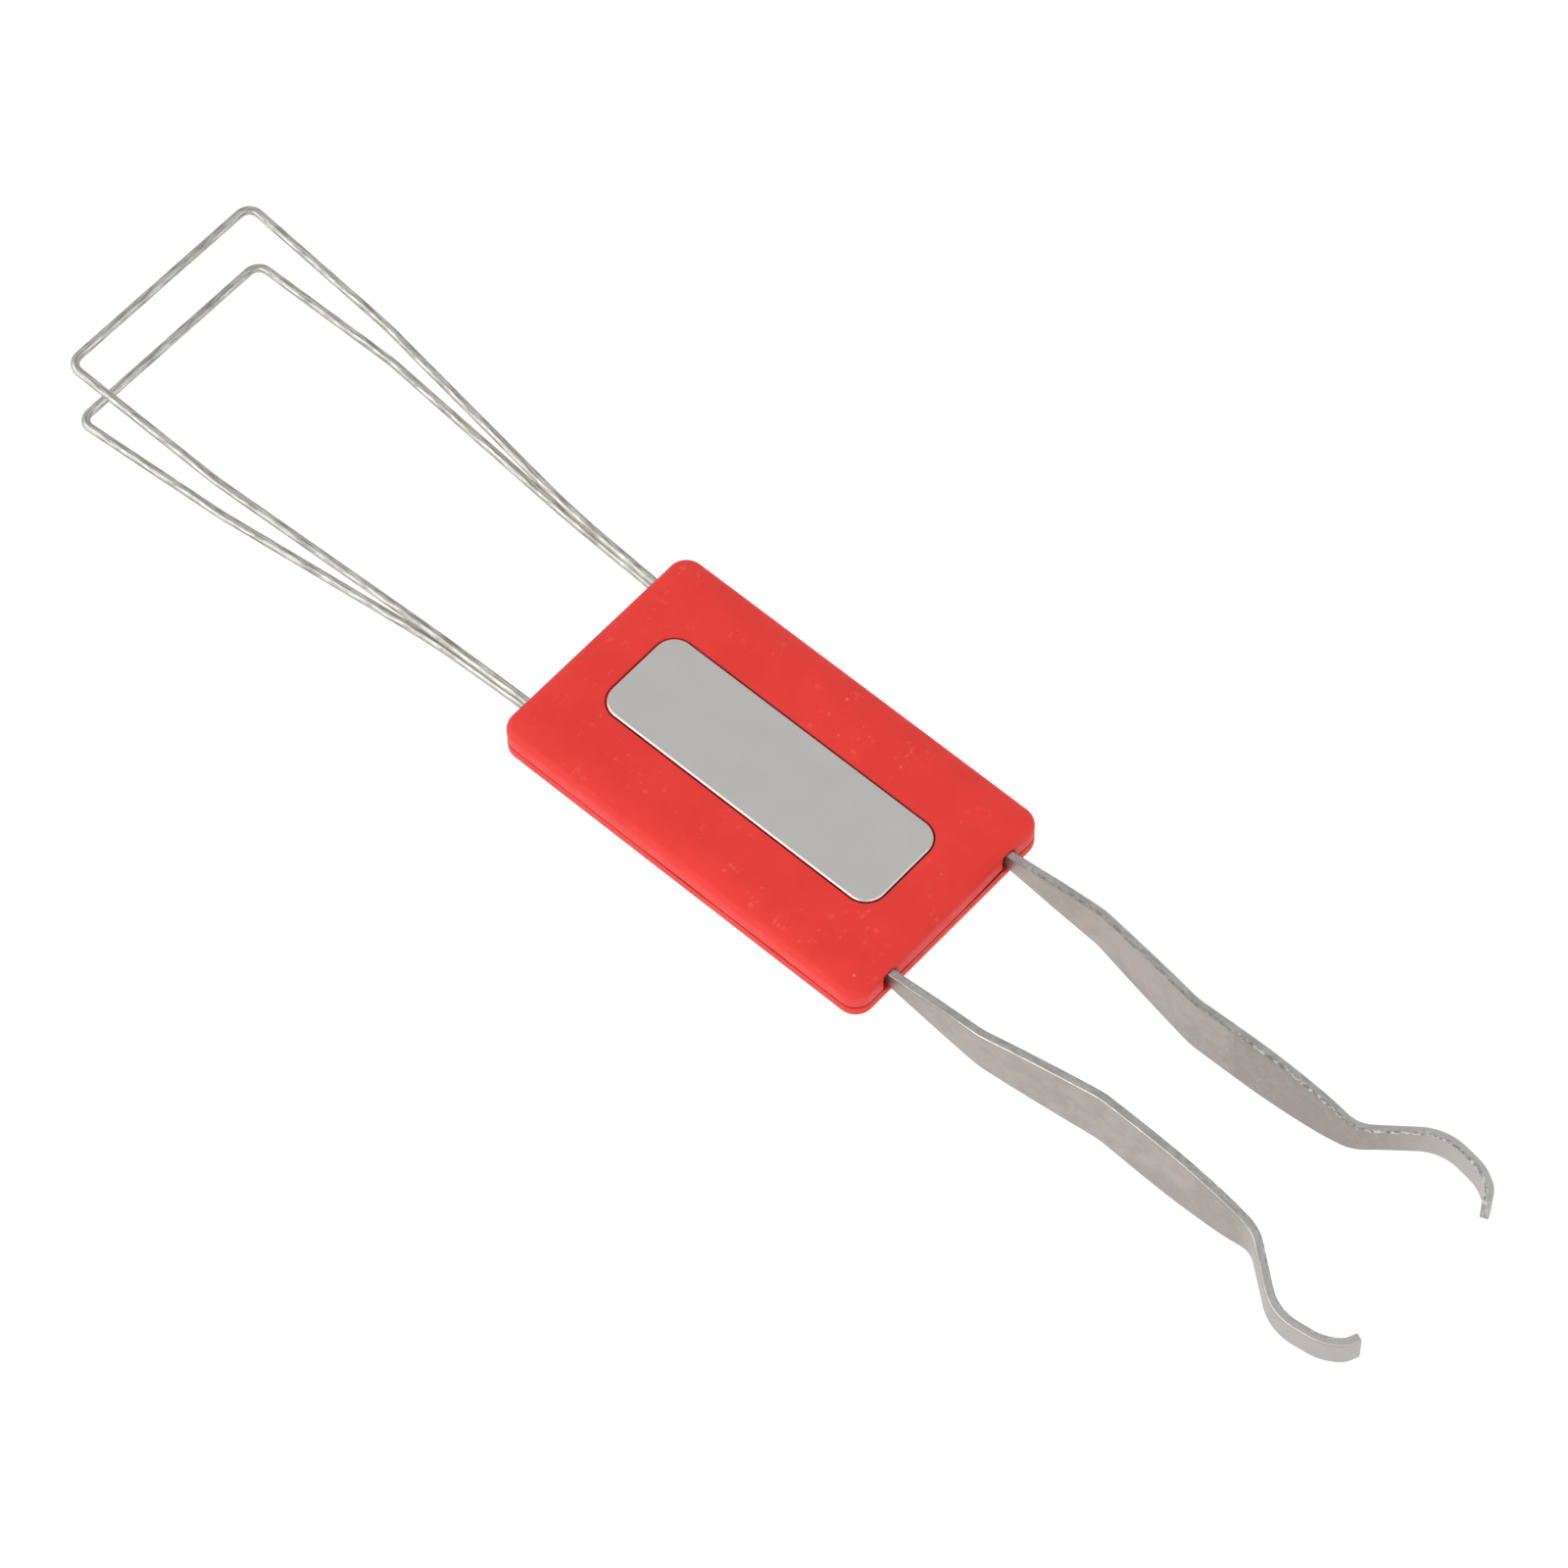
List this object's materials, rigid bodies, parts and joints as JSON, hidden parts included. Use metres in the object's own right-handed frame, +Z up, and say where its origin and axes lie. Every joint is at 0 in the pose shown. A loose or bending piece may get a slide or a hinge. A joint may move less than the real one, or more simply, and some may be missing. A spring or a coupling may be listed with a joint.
{
  "type": "keycap and switch puller",
  "caption": "Flat moulded handle with two sprung wire loops that lift keycaps at one end and two sprung steel legs that pinch switches at the other.",
  "frame": {"origin": "centre of the handle's flat underside", "axes": "+X along the tool towards the steel legs, +Y to the handle's left side, +Z up out of the name plate"},
  "size_m": [0.1455, 0.024, 0.0098],
  "materials": {
    "red_plastic": "satin",
    "brushed_plate": "fine brushed, blank",
    "adhesive_film": "matt",
    "spring_wire": "drawn wire, bright",
    "strip_steel": "rolled strip, die-cut edges"
  },
  "bodies": {
    "grip": {"upper_shell": "red_plastic", "lower_shell": "red_plastic", "name_plate": "brushed_plate", "plate_adhesive": "adhesive_film", "spring_bridge": "strip_steel", "upper_wire_tail_left": "spring_wire", "upper_wire_tail_right": "spring_wire", "lower_wire_tail_left": "spring_wire", "lower_wire_tail_right": "spring_wire"},
    "upper_loop": {"upper_wire_loop": "spring_wire"},
    "lower_loop": {"lower_wire_loop": "spring_wire"},
    "left_leg": {"left_leg_blade": "strip_steel"},
    "right_leg": {"right_leg_blade": "strip_steel"}
  },
  "joints": [
    {"name": "upper_loop_flex", "type": "hinge", "parent": "grip", "child": "upper_loop", "pos_m": [-0.0195, 0, 0.0025], "axis": [0, 1, 0], "range_deg": [-1.5, 8], "stiffness_Nm_per_rad": 0.45},
    {"name": "lower_loop_flex", "type": "hinge", "parent": "grip", "child": "lower_loop", "pos_m": [-0.0195, 0, 0.0015], "axis": [0, -1, 0], "range_deg": [-1.5, 8], "stiffness_Nm_per_rad": 0.45},
    {"name": "left_leg_flex", "type": "hinge", "parent": "grip", "child": "left_leg", "pos_m": [0.0201, 0.00766, 0.0021], "axis": [0, 0, -1], "range_deg": [-3, 8], "stiffness_Nm_per_rad": 1.5},
    {"name": "right_leg_flex", "type": "hinge", "parent": "grip", "child": "right_leg", "pos_m": [0.0201, -0.00766, 0.0021], "axis": [0, 0, 1], "range_deg": [-3, 8], "stiffness_Nm_per_rad": 1.5}
  ]
}
